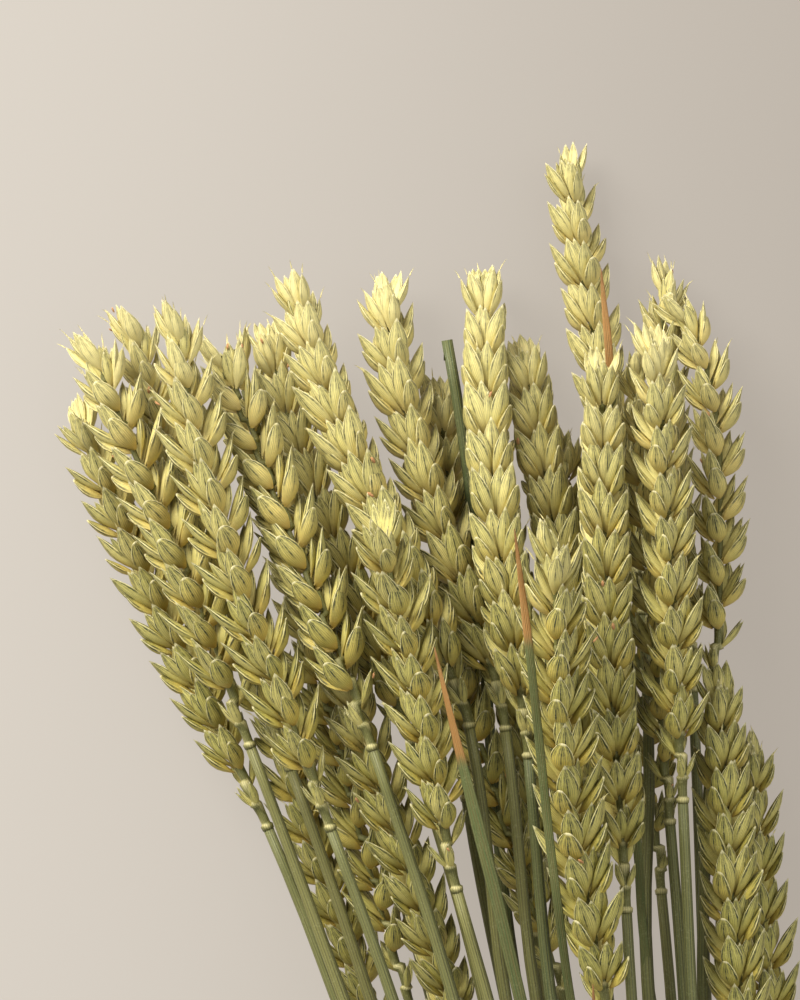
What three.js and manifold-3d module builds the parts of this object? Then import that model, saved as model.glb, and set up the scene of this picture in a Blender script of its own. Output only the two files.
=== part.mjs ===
import * as THREE from "three";
import { mergeVertices } from "three/addons/utils/BufferGeometryUtils.js";
import Module from "manifold-3d";

// A bundle of dried wheat, lying down. Millimetres, +Z up, +Y from the cut ends to the ears.
// While it is laid out, x and y are measured from the tie and z from the surface it lies on.

// Driving dimensions
const cutEnd = -250;
const stemRadius = 1.5;
const stemTopRadius = 1.25;
const stemTaper = 120;
const stemSides = 5;
const spikeletStep = 4.75;
const earNeck = 3.5;
const earCap = 9;
const jointGap = 0.3;
const tieRadius = 11.2;
const tieHalfHeight = 8;
const tieThickness = 2;
const tieTurns = 5;
const tieSides = 20;
const twineGroove = 0.9;
const twineRadius = 0.8;
const twineEnd = [[0, 0, 0.4], [6, -2, 1.6], [12, -3, 0.6], [17, -4, -0.6]];
const twineEndLean = 0.5;
const knotSize = [3.2, 2.6, 1.9];
const clearance = 0.6;
const solidShare = 0.97;
const curveTolerance = 0.2;

// Each stalk: its ear as [x, y] places from tip to foot, the x of its stem at the low line if that
// isn't straight below the ear, depth from 0 at the back to 1 in front, the roll of its two
// columns of spikelets in degrees, and the ear's width.
const lowLine = 200;
const stalks = [
  { ear: [[-128, 333], [-109, 292], [-94, 252]], low: -75, depth: 0.8, roll: 28, width: 13 },
  { ear: [[-131, 320], [-113, 281], [-90, 235]], low: -77, depth: 0.45, roll: 60, width: 12.2 },
  { ear: [[-120, 338], [-107, 299], [-86, 247]], low: -70, depth: 0.5, roll: 62, width: 12.6 },
  { ear: [[-110, 338], [-99, 296], [-78, 236]], low: -65, depth: 0.92, roll: 38, width: 13 },
  { ear: [[-103, 333], [-87, 296], [-70, 252]], low: -53, depth: 0.88, roll: 15, width: 12.8 },
  { ear: [[-98, 334], [-89, 300], [-71, 245]], low: -58, depth: 0.3, roll: 50, width: 11.6 },
  { ear: [[-92, 336], [-84, 306], [-74, 282], [-62, 248]], low: -48, depth: 0.55, roll: 80, width: 12.4 },
  { ear: [[-87, 344], [-76, 314], [-62, 284], [-50, 256]], low: -43, depth: 0.72, roll: 72, width: 13.2 },
  { ear: [[-70, 298], [-61, 264], [-53, 224]], low: -46, depth: 0.95, roll: 55, width: 12.8 },
  { ear: [[-68, 345], [-61, 308], [-51, 279], [-44, 255]], low: -37, depth: 0.64, roll: 74, width: 13.2 },
  { ear: [[-56, 325], [-52, 288], [-50, 240]], low: -43, depth: 0.25, roll: 35, width: 11.4 },
  { ear: [[-47, 348], [-46, 304], [-39, 250]], low: -34, depth: 0.75, roll: 66, width: 12.8 },
  { ear: [[-40, 333], [-34, 300], [-26, 240]], low: -24, depth: 0.62, roll: 70, width: 12.6 },
  { ear: [[-31, 316], [-29, 272], [-24, 224]], low: -22, depth: 0.2, roll: 40, width: 11.4 },
  { ear: [[-34, 294], [-32, 250], [-22, 192]], depth: 1, roll: 60, width: 14 },
  { ear: [[-24, 330], [-23, 280], [-19, 219]], low: -18, depth: 0.85, roll: 80, width: 13 },
  { ear: [[-31, 372], [-26, 340], [-15, 278]], low: -13, depth: 0.35, roll: 48, width: 11.8 },
  { ear: [[-14, 335], [-11, 292], [-8, 241]], low: -6, depth: 0.78, roll: 68, width: 11.6 },
  { ear: [[-10, 349], [-11, 318], [-5, 262]], low: -2, depth: 0.15, roll: 30, width: 10.8 },
  { ear: [[-10, 343], [-2, 326], [0, 300], [-1, 262]], low: -3, depth: 0.68, roll: 28, width: 10.8 },
  { ear: [[0, 266], [1, 236], [5, 182]], depth: 0.9, roll: 64, width: 13 },
  { ear: [[6, 253], [9, 220], [13, 166]], depth: 0.3, roll: 40, width: 11.6 },
  { ear: [[-19, 306], [-14, 260], [-11, 221]], low: -9, depth: 0.1, roll: 20, width: 9.6 },
  { ear: [[-18, 332], [-14, 284], [-10, 236]], low: -7, depth: 0.4, roll: 45, width: 10 },
  { ear: [[-94, 272], [-83, 234], [-66, 186]], depth: 0.2, roll: 36, width: 12 },
  { ear: [[-87, 288], [-75, 243], [-62, 198]], depth: 0.35, roll: 54, width: 12.2 },
  { ear: [[-76, 270], [-66, 240], [-48, 182]], depth: 0.42, roll: 58, width: 12.2 },
  { ear: [[-54, 276], [-45, 244], [-31, 198]], depth: 0.48, roll: 12, width: 11.8 },
  { ear: [[-44, 300], [-41, 262], [-36, 208]], depth: 0.05, roll: 66, width: 12 },
];

// A straw whose ear was cut off, and leaves, each on the stem of one stalk.
const straw = { top: [[-54.5, 332], [-50, 304]], low: -40, depth: 0.42, radius: 1.2 };
const leaves = [
  { stalk: 9, base: 110, points: [[-40, 200], [-52, 250]], tip: [-58, 274], depth: 1.1, halfWidth: 1.15 },
  { stalk: 12, base: 120, points: [[-30, 200], [-39, 270]], tip: [-42, 297], depth: 0.97, halfWidth: 0.9 },
  { stalk: 16, base: 130, points: [[-16, 220], [-22, 320]], tip: [-24, 349], depth: 0.5, halfWidth: 0.9 },
  { stalk: 14, base: 110, points: [[-24, 170], [-26, 200]], tip: [-27.5, 208], depth: 1.05, halfWidth: 0.9 },
];
const leafHalfThickness = 0.42;
const leafSheath = 60;
const leafPoint = 32;

// How the stalks draw together at the tie, spread below it and settle on each other.
const bundleMiddle = -38;
const tieSqueeze = 0.2;
const cutSpread = 0.55;
const cutLean = 14;
const sliceStep = 10;
const settlePasses = 700;
const stiffReach = 2;
const looseStiffness = 0.3;
const endStiffness = 0.8;
const hiddenKeep = 0.995;
const seenKeep = 0.91;
const earSink = 0.3;
const stemSink = 0.04;
const orderPush = 0.5;
const tieReach = 45;
const tieFlare = 0.0035;
const tieHeight = 18;
const freeHeight = 46;

const earGold = 0xb9ab64;
const strawGreen = 0x84875a;
const twineTan = 0xb08f5e;

const mix = THREE.MathUtils.lerp;
const smooth = THREE.MathUtils.smoothstep;

// Smooth interpolation of x through points [x, y] sorted by y.
function throughPoints(points, y) {
  const last = points.length - 1;
  const slope = (j) => {
    const before = points[Math.max(j - 1, 0)];
    const after = points[Math.min(j + 1, last)];
    return (after[0] - before[0]) / (after[1] - before[1]);
  };
  let i = 0;
  while (i < last - 1 && y > points[i + 1][1]) i++;
  const [x0, y0] = points[i];
  const [x1, y1] = points[i + 1];
  if (y < y0) return x0 + slope(i) * (y - y0);
  if (y > y1) return x1 + slope(i + 1) * (y - y1);
  const t = (y - y0) / (y1 - y0);
  const start = (2 * t - 3) * t * t + 1;
  const startSlope = ((t - 2) * t + 1) * t * (y1 - y0);
  const endSlope = (t - 1) * t * t * (y1 - y0);
  return start * x0 + startSlope * slope(i) + (1 - start) * x1 + endSlope * slope(i + 1);
}

// The radius of the round space an ear fills, from its foot (t = 0) to its tip (t = 1).
function earRadius(stalk, t) {
  const lower = mix(0.36, 1, smooth(t, -0.02, 0.2));
  const upper = mix(1, 0.58, smooth(t, 0.62, 1.04));
  return (stalk.width / 2) * lower * upper;
}

// The y of an ear's foot and of its tip.
function earSpan(stalk) {
  return [stalk.ear.at(-1)[1], stalk.ear[0][1]];
}

function stalkRadius(stalk, y) {
  const [footY, tipY] = earSpan(stalk);
  if (y < footY) return mix(stemRadius, stemTopRadius, smooth(y, footY - stemTaper, footY));
  return earRadius(stalk, (y - footY) / (tipY - footY));
}

// Where a stalk should run, from its cut end through the tie to the places of its upper part.
function stalkPoints(upper, low) {
  const offset = (low ?? upper.at(-1)[0]) - bundleMiddle;
  const points = [[cutLean + offset * cutSpread, cutEnd], [offset * tieSqueeze, 0]];
  if (low !== undefined) points.push([low, lowLine]);
  return points.concat(upper.toReversed());
}

// A strand is any one stalk, straw or leaf, as a row of places at even steps along y. squash is
// how much narrower a leaning strand is, measured across itself.
function makeStrand(points, depth, radiusAt, from, to, mate = null) {
  const places = [];
  for (let y = Math.ceil(from / sliceStep) * sliceStep; y <= to; y += sliceStep) {
    const wanted = throughPoints(points, y);
    const ahead = throughPoints(points, y + sliceStep / 2);
    const behind = throughPoints(points, y - sliceStep / 2);
    const squash = 1 / Math.hypot(1, (ahead - behind) / sliceStep);
    const z = tieThickness + stemRadius + depth * mix(tieHeight, freeHeight, smooth(y, 20, lowLine));
    places.push({ y, wanted, radius: radiusAt(y), squash, x: wanted, z, push: { x: 0, z: 0 } });
  }
  return { places, depth, mate };
}

// The ears' weight bends the stalks down, and each stalk stays straight where nothing bends it.
function bendAndSink(strand, cool) {
  const { places } = strand;
  const offsets = places.map((p) => p.x - p.wanted);
  const heights = places.map((p) => p.z);
  const stiffness = mix(looseStiffness, endStiffness, cool);
  places.forEach((p, i) => {
    let offset = offsets[i];
    if (i > 0 && i < places.length - 1) {
      offset = mix(offset, (offsets[i - 1] + offsets[i + 1]) / 2, stiffness);
      p.z = mix(heights[i], (heights[i - 1] + heights[i + 1]) / 2, stiffness);
    }
    p.x = p.wanted + offset * mix(hiddenKeep, seenKeep, smooth(p.y, 90, lowLine));
    p.z -= cool * (p.radius > stemRadius + 0.1 ? earSink : stemSink);
  });
}

function push(place, x, z) {
  place.push.x += x;
  place.push.z += z;
}

// Two strands that come too close are pushed apart, the deeper one down where they cross.
function pushApart(a, b, order) {
  const need = a.radius + b.radius + clearance;
  const dx = (a.x - b.x) * Math.min(a.squash, b.squash);
  const dz = a.z - b.z;
  if (Math.abs(dx) >= need || Math.abs(dz) >= need) return;
  const upperPart = smooth(a.y, 120, lowLine);
  if (upperPart > 0.5 && Math.abs(dx) < need * 0.8 && dz * order < need * 0.4) {
    push(a, 0, order * orderPush);
    push(b, 0, -order * orderPush);
    return;
  }
  const distance = Math.hypot(dx, dz);
  if (distance >= need) return;
  const sideways = dx * mix(1, 0.4, upperPart);
  const upwards = dz + order * 0.2;
  const shift = (0.5 * (need - distance)) / (Math.hypot(sideways, upwards) || 1);
  push(a, sideways * shift, upwards * shift);
  push(b, -sideways * shift, -upwards * shift);
}

// The tie draws every strand into a circle that widens away from it, and nothing sinks into
// the surface.
function hold(place) {
  const fromTie = Math.max(Math.abs(place.y) - sliceStep, 0);
  if (fromTie < tieReach) {
    const middle = tieRadius + tieThickness;
    const reach = Math.hypot(place.x, place.z - middle);
    const most = tieRadius + tieFlare * fromTie ** 2 - place.radius - jointGap;
    if (reach > most) {
      place.x *= most / reach;
      place.z = middle + (place.z - middle) * (most / reach);
    }
  }
  place.z = Math.max(place.z, place.radius);
}

// A strand is stiff, so a push at one place moves its neighbours too.
function giveWay(strand) {
  const { places } = strand;
  for (const key of ["x", "z"]) {
    let pushes = places.map((p) => p.push[key]);
    for (let turn = 0; turn < 2; turn++) {
      pushes = pushes.map((_, i) => {
        const near = pushes.slice(Math.max(i - stiffReach, 0), i + stiffReach + 1);
        return near.reduce((sum, value) => sum + value, 0) / near.length;
      });
    }
    places.forEach((p, i) => {
      p[key] += pushes[i];
      p.push[key] = 0;
    });
  }
}

// A leaf lies against its own stem for a short way above the place it grows from.
function growsFrom(a, b) {
  return a.strand.mate === b.strand && a.place.y < a.strand.places[0].y + leafSheath;
}

// Pushes the strands of one level that come too close.
function partLevel(level) {
  for (let i = 0; i < level.length; i++) {
    for (let j = i + 1; j < level.length; j++) {
      const [a, b] = [level[i], level[j]];
      if (growsFrom(a, b) || growsFrom(b, a)) continue;
      pushApart(a.place, b.place, Math.sign(a.strand.depth - b.strand.depth));
    }
  }
}

function settle(strands) {
  const levels = new Map();
  for (const strand of strands) {
    for (const place of strand.places) {
      if (!levels.has(place.y)) levels.set(place.y, []);
      levels.get(place.y).push({ strand, place });
    }
  }
  for (let pass = 0; pass < settlePasses; pass++) {
    const cool = Math.max(0, 1 - (1.4 * pass) / settlePasses);
    for (const strand of strands) bendAndSink(strand, cool);
    for (let sweep = 0; sweep < 3; sweep++) {
      for (const level of levels.values()) partLevel(level);
      for (const strand of strands) {
        giveWay(strand);
        strand.places.forEach(hold);
        if (strand.mate) pinToMate(strand);
      }
    }
  }
}

// A leaf starts in the middle of its stem.
function pinToMate(strand) {
  const [start] = strand.places;
  const grown = strand.mate.places.find((place) => place.y === start.y);
  start.x = grown.x;
  start.z = grown.z;
}

const stalkStrands = stalks.map((stalk) =>
  makeStrand(stalkPoints(stalk.ear, stalk.low), stalk.depth, (y) => stalkRadius(stalk, y), cutEnd,
    earSpan(stalk)[1]));
const strawTop = straw.top[0][1];
const strawStrand = makeStrand(
  stalkPoints(straw.top, straw.low), straw.depth, () => straw.radius, cutEnd, strawTop);
const leafStrands = leaves.map((leaf) => {
  const stem = stalks[leaf.stalk];
  const mate = stalkStrands[leaf.stalk];
  const start = [throughPoints(stalkPoints(stem.ear, stem.low), leaf.base), leaf.base];
  const points = [start, ...leaf.points, leaf.tip];
  return makeStrand(points, leaf.depth, () => leaf.halfWidth, leaf.base, leaf.tip[1], mate);
});
settle([...stalkStrands, strawStrand, ...leafStrands]);

// The middle of a strand at any y, smooth between its places.
function middleAt(strand, y) {
  const { places } = strand;
  const steps = (y - places[0].y) / sliceStep;
  const i = Math.min(Math.max(Math.floor(steps), 0), places.length - 2);
  const t = steps - i;
  const at = (j, key) => {
    if (j < 0) return 2 * places[0][key] - places[1][key];
    if (j < places.length) return places[j][key];
    return 2 * places.at(-1)[key] - places.at(-2)[key];
  };
  const along = (key) => {
    const [before, start, end, after] = [at(i - 1, key), at(i, key), at(i + 1, key), at(i + 2, key)];
    if (t < 0 || t > 1) return start + (end - start) * t;
    const bend = (2 * before - 5 * start + 4 * end - after) * t * t;
    const turn = (3 * start - before - 3 * end + after) * t * t * t;
    return start + 0.5 * ((end - before) * t + bend + turn);
  };
  return new THREE.Vector3(along("x"), y, along("z"));
}

// Right and up directions square to a strand at y.
function directionsAt(strand, y) {
  const along = middleAt(strand, y + 2).sub(middleAt(strand, y - 2)).normalize();
  const right = new THREE.Vector3().crossVectors(along, new THREE.Vector3(0, 0, 1)).normalize();
  const up = new THREE.Vector3().crossVectors(right, along);
  return { right, up };
}

function offsetFrom(strand, y, rightward, upward) {
  const { right, up } = directionsAt(strand, y);
  return middleAt(strand, y).addScaledVector(right, rightward).addScaledVector(up, upward);
}

// The fewest levels between which straight pieces keep within the tolerance of a strand's curve.
function levelsAlong(strand, from, to) {
  const straight = new THREE.Line3(middleAt(strand, from), middleAt(strand, to));
  let worst = 0;
  let worstY = from;
  for (let y = from + 4; y < to - 4; y += 4) {
    const point = middleAt(strand, y);
    const nearest = straight.closestPointToPoint(point, true, new THREE.Vector3());
    if (nearest.distanceTo(point) <= worst) continue;
    worst = nearest.distanceTo(point);
    worstY = y;
  }
  if (worst < curveTolerance) return [from, to];
  const lower = levelsAlong(strand, from, worstY);
  const upper = levelsAlong(strand, worstY, to);
  return [...lower, ...upper.slice(1)];
}

// A closed geometry from points and triangles, its faces turned outwards.
function closedGeometry(points, triangles) {
  let volume = 0;
  for (const [a, b, c] of triangles) {
    volume += points[a].dot(new THREE.Vector3().crossVectors(points[b], points[c]));
  }
  const geometry = new THREE.BufferGeometry().setFromPoints(points);
  geometry.setIndex(triangles.flatMap(([a, b, c]) => (volume > 0 ? [a, b, c] : [a, c, b])));
  return geometry;
}

// Triangles that join two rings with the same number of corners.
function joinRings(lower, upper) {
  return lower.flatMap((corner, i) => {
    const next = (i + 1) % lower.length;
    return [[corner, lower[next], upper[next]], [corner, upper[next], upper[i]]];
  });
}

// A tube along a strand. outlineAt gives its section at each y as [rightward, upward] corners.
function tubeAlong(strand, levels, outlineAt) {
  const points = [];
  const triangles = [];
  let below = null;
  for (const y of levels) {
    const ring = outlineAt(y).map(([rightward, upward]) => {
      points.push(offsetFrom(strand, y, rightward, upward));
      return points.length - 1;
    });
    if (below) triangles.push(...joinRings(below, ring));
    else for (let i = 2; i < ring.length; i++) triangles.push([ring[0], ring[i], ring[i - 1]]);
    below = ring;
  }
  for (let i = 2; i < below.length; i++) triangles.push([below[0], below[i - 1], below[i]]);
  return closedGeometry(points, triangles);
}

function roundOutline(radius, sides) {
  return Array.from({ length: sides }, (_, i) => {
    const angle = Math.PI * (0.5 + (2 * i) / sides);
    return [radius * Math.cos(angle), radius * Math.sin(angle)];
  });
}

function stemGeometry(stalk, strand) {
  const levels = levelsAlong(strand, cutEnd, earSpan(stalk)[0] - jointGap);
  return tubeAlong(strand, levels, (y) => roundOutline(stalkRadius(stalk, y) * solidShare, stemSides));
}

// A dried leaf: a narrow blade, thick enough to be solid, that runs out to a point.
function leafGeometry(leaf, strand) {
  const levels = levelsAlong(strand, leaf.base, leaf.tip[1]);
  return tubeAlong(strand, levels, (y) => {
    const w = leaf.halfWidth * mix(1, 0.2, smooth(y, leaf.tip[1] - leafPoint, leaf.tip[1]));
    const h = leafHalfThickness;
    return [[w, 0], [w / 2, h], [-w / 2, h], [-w, 0], [-w / 2, -h], [w / 2, -h]];
  });
}

// Corners of one spikelet, as parts of the ear's radius outwards and sideways, and of a step along.
const belly = [0.93, 0, 0.85];
const glumeBelly = [0.46, 0.8, 0.8];
const lemmaTip = [0.98, 0, 2.55];
const glumeTip = [0.46, 0.87, 2.1];
const valley = [0.72, 0.38, 1.65];
const seam = [0.2, 0.46];

// An ear: spikelets in two columns, each a fan of three pointed scales that overlaps the next.
function earGeometry(stalk, strand) {
  const [footY, tipY] = earSpan(stalk);
  const length = middleAt(strand, footY).distanceTo(middleAt(strand, tipY));
  const steps = Math.round((length - earNeck - earCap) / spikeletStep);
  const step = (length - earNeck - earCap) / steps;
  const roll = THREE.MathUtils.degToRad(stalk.roll);
  const points = [];
  const triangles = [];

  // A corner at a distance along the ear, outwards along the columns' line and sideways from it.
  function corner(distance, outward, sideways) {
    const y = mix(footY, tipY, distance / length);
    const rightward = outward * Math.cos(roll) - sideways * Math.sin(roll);
    const upward = outward * Math.sin(roll) + sideways * Math.cos(roll);
    points.push(offsetFrom(strand, y, rightward, upward));
    return points.length - 1;
  }
  const radiusAt = (distance) => earRadius(stalk, Math.min(distance / length, 1)) * solidShare;

  // The seams between the two columns, in front and at the back, swing towards each column in turn.
  const front = [];
  const back = [];
  for (let i = 0; i <= steps; i++) {
    const distance = earNeck + i * step;
    const radius = radiusAt(distance);
    const swing = (i % 2 ? -1 : 1) * seam[0] * radius;
    front.push(corner(distance, swing, seam[1] * radius));
    back.push(corner(distance, swing, -seam[1] * radius));
  }

  for (let i = 0; i + 2 <= steps; i++) {
    const side = i % 2 ? -1 : 1;
    const place = ([outward, sideways, along], turn = 1) => {
      const distance = earNeck + (i + along) * step;
      const radius = radiusAt(distance);
      return corner(distance, side * outward * radius, turn * sideways * radius);
    };
    const [middle, lemma] = [place(belly), place(lemmaTip)];
    const [frontBelly, backBelly] = [place(glumeBelly), place(glumeBelly, -1)];
    const [frontTip, backTip] = [place(glumeTip), place(glumeTip, -1)];
    const [frontValley, backValley] = [place(valley), place(valley, -1)];
    const [f0, f1, f2] = front.slice(i, i + 3);
    const [b0, b1, b2] = back.slice(i, i + 3);
    const faces = [
      [b0, f0, middle], [f0, frontBelly, middle], [b0, middle, backBelly],
      [f0, f1, frontBelly], [b0, backBelly, b1],
      [frontBelly, frontTip, frontValley], [frontBelly, frontValley, middle],
      [middle, frontValley, lemma], [middle, lemma, backValley],
      [backBelly, middle, backValley], [backBelly, backValley, backTip],
      [frontBelly, f1, frontTip], [backBelly, backTip, b1],
      [frontTip, f1, f2], [frontTip, f2, frontValley], [frontValley, f2, b2],
      [frontValley, b2, backValley], [frontValley, backValley, lemma],
      [backValley, b2, backTip], [backTip, b2, b1],
    ];
    triangles.push(...(side > 0 ? faces : faces.map(([p, q, r]) => [p, r, q])));
  }

  // The foot where the stem meets the ear, and the spikelet that ends it.
  const square = (distance, outward, sideways) =>
    [[1, 1], [-1, 1], [-1, -1], [1, -1]].map(([u, v]) => corner(distance, u * outward, v * sideways));
  const foot = square(0, 0.85, 0.85);
  const [even, odd] = steps % 2 ? [steps - 1, steps] : [steps, steps - 1];
  const crown = [front[even], front[odd], back[odd], back[even]];
  const topRadius = radiusAt(length - earCap);
  const bulge = square(length - earCap * 0.55, topRadius * 0.55, topRadius * 0.75);
  const apex = corner(length, 0, 0);
  triangles.push([foot[0], foot[2], foot[1]], [foot[0], foot[3], foot[2]]);
  triangles.push(...joinRings(foot, [front[0], front[1], back[1], back[0]]));
  triangles.push(...joinRings(crown, bulge));
  bulge.forEach((point, i) => triangles.push([point, bulge[(i + 1) % 4], apex]));
  return closedGeometry(points, triangles);
}

// The tie: natural twine wound side by side round the stems, knotted in front.
const tieTop = 2 * (tieRadius + tieThickness);

function tieBandGeometry() {
  const inner = tieRadius / Math.cos(Math.PI / tieSides);
  const outer = (tieRadius + tieThickness) / Math.cos(Math.PI / tieSides);
  const groove = outer - twineGroove;
  const turn = (2 * tieHalfHeight) / tieTurns;
  const profile = [new THREE.Vector2(inner, -tieHalfHeight), new THREE.Vector2(groove, -tieHalfHeight)];
  for (let i = 0; i < tieTurns; i++) {
    profile.push(new THREE.Vector2(outer, -tieHalfHeight + (i + 0.5) * turn));
    profile.push(new THREE.Vector2(groove, -tieHalfHeight + (i + 1) * turn));
  }
  profile.push(new THREE.Vector2(inner, tieHalfHeight), profile[0].clone());
  const band = new THREE.LatheGeometry(profile, tieSides, Math.PI / tieSides, 2 * Math.PI);
  return band.translate(0, 0, tieRadius + tieThickness);
}

function twineEndGeometry(side) {
  const path = new THREE.CatmullRomCurve3(twineEnd.map(([x, y, z]) =>
    new THREE.Vector3(side * x, y - side * x * twineEndLean, tieTop + z)));
  const outline = roundOutline(twineRadius, 5).map(([x, y]) => new THREE.Vector2(x, y));
  return new THREE.ExtrudeGeometry(new THREE.Shape(outline), {
    steps: 6,
    bevelEnabled: false,
    extrudePath: path,
  });
}

function knotGeometry() {
  return new THREE.IcosahedronGeometry(1, 1).scale(...knotSize).translate(0, 0, tieTop);
}

const manifold = await Module();
manifold.setup();

function toSolid(geometry) {
  const bare = geometry.clone();
  bare.deleteAttribute("normal");
  bare.deleteAttribute("uv");
  const merged = mergeVertices(bare, 1e-4);
  const vertProperties = merged.attributes.position.array;
  const triVerts = new Uint32Array(merged.index.array);
  return new manifold.Manifold(new manifold.Mesh({ numProp: 3, vertProperties, triVerts }));
}

// Several closed geometries joined into one.
function join(geometries) {
  const solid = geometries.map(toSolid).reduce((joined, next) => joined.add(next));
  const mesh = solid.getMesh();
  const geometry = new THREE.BufferGeometry();
  geometry.setAttribute("position", new THREE.BufferAttribute(mesh.vertProperties, 3));
  geometry.setIndex(new THREE.BufferAttribute(mesh.triVerts, 1));
  return geometry;
}

const group = new THREE.Group();

function addPiece(name, geometry, color, roughness) {
  const material = new THREE.MeshStandardMaterial({ color, roughness, metalness: 0, flatShading: true });
  const mesh = new THREE.Mesh(geometry, material);
  mesh.name = name;
  group.add(mesh);
}

stalks.forEach((stalk, i) => {
  const number = String(i + 1).padStart(2, "0");
  const strand = stalkStrands[i];
  const grown = leaves
    .map((leaf, j) => (leaf.stalk === i ? leafGeometry(leaf, leafStrands[j]) : null))
    .filter(Boolean);
  const stem = stemGeometry(stalk, strand);
  addPiece(`ear_${number}`, earGeometry(stalk, strand), earGold, 0.75);
  addPiece(`stem_${number}`, grown.length ? join([stem, ...grown]) : stem, strawGreen, 0.7);
});
const strawLevels = levelsAlong(strawStrand, cutEnd, strawTop);
const strawOutline = roundOutline(straw.radius, stemSides);
addPiece("straw", tubeAlong(strawStrand, strawLevels, () => strawOutline), strawGreen, 0.7);
const tieParts = [tieBandGeometry(), knotGeometry(), twineEndGeometry(-1), twineEndGeometry(1)];
addPiece("tie", join(tieParts), twineTan, 0.9);

// The origin is under the middle of the bundle, on the surface it lies on.
const bounds = new THREE.Box3().setFromObject(group, true);
const centre = bounds.getCenter(new THREE.Vector3());
group.position.set(-centre.x, -centre.y, -bounds.min.z);

export default group;
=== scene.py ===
import math
import random

import bpy
import numpy as np
from mathutils import Matrix, Vector


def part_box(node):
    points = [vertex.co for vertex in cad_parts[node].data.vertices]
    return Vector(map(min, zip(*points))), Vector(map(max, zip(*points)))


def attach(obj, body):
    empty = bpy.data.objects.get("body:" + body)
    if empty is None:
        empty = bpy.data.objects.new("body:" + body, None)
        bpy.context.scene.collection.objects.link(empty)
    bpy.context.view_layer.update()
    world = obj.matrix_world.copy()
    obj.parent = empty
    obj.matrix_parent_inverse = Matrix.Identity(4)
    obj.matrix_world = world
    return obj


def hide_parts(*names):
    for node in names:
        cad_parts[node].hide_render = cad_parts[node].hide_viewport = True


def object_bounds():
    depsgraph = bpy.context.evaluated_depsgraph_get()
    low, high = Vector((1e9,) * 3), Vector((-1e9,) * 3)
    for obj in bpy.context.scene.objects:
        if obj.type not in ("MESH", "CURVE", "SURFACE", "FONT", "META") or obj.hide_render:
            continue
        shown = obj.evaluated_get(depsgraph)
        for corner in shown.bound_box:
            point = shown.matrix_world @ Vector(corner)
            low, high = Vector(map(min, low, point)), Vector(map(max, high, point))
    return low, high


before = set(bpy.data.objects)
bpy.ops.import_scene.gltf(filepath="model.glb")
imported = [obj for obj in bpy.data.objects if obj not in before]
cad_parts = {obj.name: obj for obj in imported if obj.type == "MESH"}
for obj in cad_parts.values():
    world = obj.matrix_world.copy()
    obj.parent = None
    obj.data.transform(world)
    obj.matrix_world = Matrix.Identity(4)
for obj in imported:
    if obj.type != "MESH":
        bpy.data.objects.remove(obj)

cadLow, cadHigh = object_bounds()

# A bundle of dried wheat, lying down with its ears pointing along +Y. The shapes are worked out
# in millimetres and made metres when each piece is finished.
mm = 0.001
dice = random.Random(41)


def smooth(value, low, high):
    t = min(max((value - low) / (high - low), 0), 1)
    return t * t * (3 - 2 * t)


def mix(a, b, t):
    return a + (b - a) * t


def vary(amount):
    return dice.uniform(-amount, amount)


# Small tools for modelling

def clearSelection():
    bpy.ops.object.select_all(action="DESELECT")


def activate(*pieces):  # selects these alone, the first of them as the active one
    clearSelection()
    for piece in pieces:
        piece.select_set(True)
    bpy.context.view_layer.objects.active = pieces[0]


def startEditing(piece):  # opens one piece in edit mode, ready to pick its corners
    activate(piece)
    bpy.ops.object.mode_set(mode="EDIT")
    bpy.ops.mesh.select_mode(type="VERT")


def endEditing():  # turns all faces outwards and leaves edit mode
    bpy.ops.mesh.select_all(action="SELECT")
    bpy.ops.mesh.normals_make_consistent(inside=False)
    bpy.ops.object.mode_set(mode="OBJECT")


def pick(piece, test):  # in edit mode, selects the corners whose place passes a test
    bpy.ops.object.mode_set(mode="OBJECT")
    for corner in piece.data.vertices:
        corner.select = test(corner.co)
    bpy.ops.object.mode_set(mode="EDIT")


def copyOf(model, matrix, tone):  # a copy of a model with its own mesh, placed and given its tone
    mesh = model.data.copy()
    mesh.transform(matrix)
    mesh.attributes["tone"].data.foreach_set("color", tone * len(mesh.vertices))
    piece = bpy.data.objects.new(model.name, mesh)
    bpy.context.collection.objects.link(piece)
    return piece


def joinPieces(name, pieces):
    activate(*pieces)
    bpy.ops.object.join()
    joined = bpy.context.object
    joined.name = name
    joined.data.name = name
    return joined


def settle(piece, margin):  # presses flat what would reach under the floor, margin mm thick
    for corner in piece.data.vertices:
        if corner.co.z < margin:
            corner.co.z = margin * math.exp(corner.co.z / margin - 1)


def finishPiece(piece, material, nodes):
    piece.data.transform(Matrix.Scale(mm, 4))
    piece.data.materials.clear()
    piece.data.materials.append(material)
    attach(piece, "root")
    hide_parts(*nodes)


# Where the stalks run, read from the nodes

tracing = {
    "step": 8,            # mm between the places of a line
    "stemReach": 1.8,     # mm round the expected middle that still belong to a stem
    "flatLift": 0.14,     # mm from the middle of a five-sided rod's box to its own middle
    "blendIn": 18,        # mm over which an ear's line joins its stem's
    "rest": 6.5,          # how high over the floor the middle of an ear stays at least
    "endInset": 0.6,      # mm from a node's end to the first cut through it
    "earLevels": 26,      # places along an ear's line
    "bend": 4,            # degree of the curve that follows an ear
    "slopeOver": 4,       # mm to each side over which a direction is taken
}


def nodeMesh(name):
    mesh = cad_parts[name].data
    corners = np.array([v.co for v in mesh.vertices]) / mm
    edges = np.array([e.vertices for e in mesh.edges])
    return corners, edges


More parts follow.
